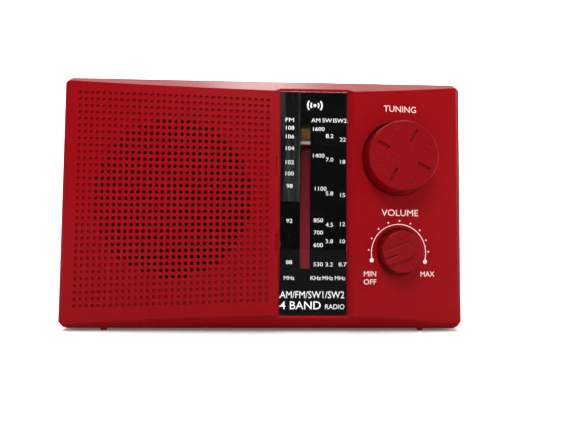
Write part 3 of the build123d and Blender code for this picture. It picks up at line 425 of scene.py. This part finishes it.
SW2_MARKS = (("22", 89.5), ("18", 78.0), ("15", 60.8), ("12", 46.0), ("10", 37.2), ("8.7", 25.5))
SCALES = ((5.9, FM_MARKS), (20.7, AM_MARKS), (26.3, SW1_MARKS), (33.1, SW2_MARKS))
dial_print = Print("dial_lettering", print_white, "white_plastic", PRINT_THICK)
for column_x, marks in SCALES:
    for text, z in marks:
        nudge = 1.1 if text == "1100" else 0.0
        dial_print.line(text, DX + column_x + nudge, DZ + z, NUMBER_CAP, swell=1.14)
for text, x, wide in (("FM", 5.7, 4.3), ("AM", 19.1, 4.6), ("SW1", 25.5, 5.9), ("SW2", 31.9, 6.2)):
    dial_print.line(text, DX + x, DZ + HEAD_Z, HEAD_CAP, width=wide)
for text, x in (("MHz", 6.0), ("KHz", 19.5), ("MHz", 25.6), ("MHz", 31.9)):
    dial_print.line(text, DX + x, DZ + UNIT_Z, UNIT_CAP, width=5.3)
dial_print.line("AM/FM/SW1/SW2", DX + 17.7, DZ + 10.2, 3.5, width=32.6)
dial_print.line("4 BAND", DX + 11.8, DZ + 4.9, 4.0, width=20.6, weight=0.004)
dial_print.line("RADIO", DX + 29.2, DZ + 4.2, 2.4, width=9.8)
# plain broadcast emblem at the head of the dial: a dot between two pairs of arcs
EMBLEM_X, EMBLEM_Z, EMBLEM_LINE = DX + 18.6, DZ + 107.0, 0.75
HALF_ARC = 38
for radius in (2.0, 3.7):
    for aim in (0, 180):
        dial_print.ring(EMBLEM_X, EMBLEM_Z, radius, EMBLEM_LINE, aim - HALF_ARC, aim + HALF_ARC, steps=20)
dial_print.dot(EMBLEM_X, EMBLEM_Z, EMBLEM_LINE)
plate_face = plate_lo.y - PRINT_THICK
dial_print.finish(lambda x, z: plate_face, "cabinet")

front = NODES["front_cabinet"]


def face_at(x, z):
    """Y of the front cabinet's outside at (x, z)."""
    hit, point, _, _ = front.ray_cast(Vector((x, -0.2, z)), Vector((0, 1, 0)))
    return point.y if hit else 0.0


# the captions and the volume scale are placed from the middles of the knobs
tune_lo, tune_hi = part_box("tuning_knob")
vol_lo, vol_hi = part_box("volume_knob")
TX, TZ = (tune_lo.x + tune_hi.x) / 2 / MM, (tune_lo.z + tune_hi.z) / 2 / MM
VX, VZ = (vol_lo.x + vol_hi.x) / 2 / MM, (vol_lo.z + vol_hi.z) / 2 / MM
panel_print = Print("panel_lettering", print_pink, "white_plastic", 0.00003)
SMALL_CAP = 2.6
panel_print.line("TUNING", TX + 1.1, TZ + 26.1, 3.2, width=17.6)
panel_print.line("VOLUME", VX + 0.7, VZ + 19.9, 3.3, width=19.7)
panel_print.line("MIN", VX - 15.3, VZ - 11.3, SMALL_CAP, width=6.4)
panel_print.line("OFF", VX - 15.3, VZ - 15.4, SMALL_CAP, width=6.6)
panel_print.line("MAX", VX + 15.5, VZ - 11.6, SMALL_CAP, width=7.6)
# volume scale, in degrees from +X: a line with a large dot at each end and small dots outside it
ARC_FROM, ARC_TO, ARC_RADIUS, ARC_LINE = -17.8, 194.5, 14.55, 0.4
END_RADIUS, END_DOT = 14.9, 1.1
TICK_FROM, TICK_STEP, TICKS, TICK_RADIUS, TICK_DOT = 1, 21.9, 9, 16.0, 0.42
panel_print.ring(VX, VZ - 0.6, ARC_RADIUS, ARC_LINE, ARC_FROM, ARC_TO)
for angle in (math.radians(ARC_FROM), math.radians(ARC_TO)):
    panel_print.dot(VX + END_RADIUS * math.cos(angle), VZ - 0.7 + END_RADIUS * math.sin(angle), END_DOT)
for i in range(TICKS):
    angle = math.radians(TICK_FROM + TICK_STEP * i)
    tick_x, tick_z = TICK_RADIUS * math.cos(angle), TICK_RADIUS * math.sin(angle)
    panel_print.dot(VX + tick_x, VZ - 0.3 + tick_z, TICK_DOT, steps=12)
panel_print.finish(face_at, "cabinet")


# ---------------------------------------------------------------- studio
def plane(name, centre, size, look, turn=(0, 0, 0)):
    """Flat card that belongs to the studio, not to the object."""
    mesh = bpy.data.meshes.new(name)
    x, y = size[0] / 2, size[1] / 2
    mesh.from_pydata([(-x, -y, 0), (x, -y, 0), (x, y, 0), (-x, y, 0)], [], [(0, 1, 2, 3)])
    mesh.materials.append(look.mat)
    card = bpy.data.objects.new(name, mesh)
    card.location = centre
    card.rotation_euler = turn
    scene.collection.objects.link(card)
    return card


def softbox(name, centre, target, size, power):
    """Rectangular white area light aimed at a point."""
    data = bpy.data.lights.new(name, "AREA")
    data.shape = "RECTANGLE"
    data.size, data.size_y = size
    data.energy = power
    lamp = bpy.data.objects.new(name, data)
    lamp.location = centre
    lamp.rotation_euler = (Vector(target) - Vector(centre)).to_track_quat("-Z", "Y").to_euler()
    scene.collection.objects.link(lamp)
    return lamp


def reflector(name, centre, size, look, turn=(0, 0, 0)):
    """Card seen only in the object's reflections."""
    card = plane(name, centre, size, look, turn)
    card.visible_camera = False
    card.visible_diffuse = False
    card.visible_shadow = False
    return card


# sizes and places from here on are in metres
UPRIGHT = (math.pi / 2, 0, 0)
floor_look = Look("floor", (0.88, 0.88, 0.88), 0.8, Emission_Color=(1, 1, 1, 1), Emission_Strength=0.12)
plane("floor", (0, 0.4, 0), (8, 8), floor_look)
backdrop = Look("backdrop", (0.92, 0.92, 0.92), 0.9, Emission_Color=(1, 1, 1, 1), Emission_Strength=0.5)
plane("backdrop", (0, 2.2, 1.0), (8, 4), backdrop, UPRIGHT)
# dark room and floor in front of the object, which keep its gloss from turning pale
dark = Look("dark_card", (0.006, 0.006, 0.006), 0.9, Specular_IOR_Level=0.0)
reflector("room_card", (0.12, -1.3, 0.45), (0.9, 0.9), dark, UPRIGHT)
dim = Look("dim_card", (0.035, 0.035, 0.035), 0.9, Specular_IOR_Level=0.0)
reflector("floor_card", (0.12, -0.62, 0.001), (0.9, 1.36), dim)
# soft upright streaks, as of a room seen in the dial's lens
STREAK_SCALE = (34, 2.6, 1)
streaks = Look("streak_card", (0, 0, 0), 0.9, Emission_Color=(0.85, 1.0, 0.92, 1))
bars = streaks.span(streaks.noise(1.0, 3, streaks.mapping(STREAK_SCALE)), 0.45, 0.75, 0.0, 0.65)
streaks.link(bars, streaks.shader.inputs["Emission Strength"])
reflector("streak_card", (0.052, -1.28, 0.40), (0.085, 0.46), streaks, UPRIGHT)

world = bpy.data.worlds.new("studio")
scene.world = world
world.use_nodes = True
background = world.node_tree.nodes["Background"]
background.inputs["Color"].default_value = (0.95, 0.97, 1.0, 1.0)
background.inputs["Strength"].default_value = 0.18

MIDDLE = (0, 0, 0.06)
softbox("key_light", (-0.12, -1.0, 1.1), MIDDLE, (0.55, 0.55), 18.5)
softbox("floor_light", (0.0, -0.05, 1.7), (0, 0, 0), (1.8, 1.8), 26)
softbox("top_light", (-0.04, 0.62, 1.15), MIDDLE, (0.28, 0.2), 2.4)
softbox("right_light", (1.1, -0.3, 0.35), MIDDLE, (0.1, 0.7), 5)
softbox("back_wall_light", (0, 0.9, 1.6), (0, 2.2, 0.6), (3.0, 0.6), 60)
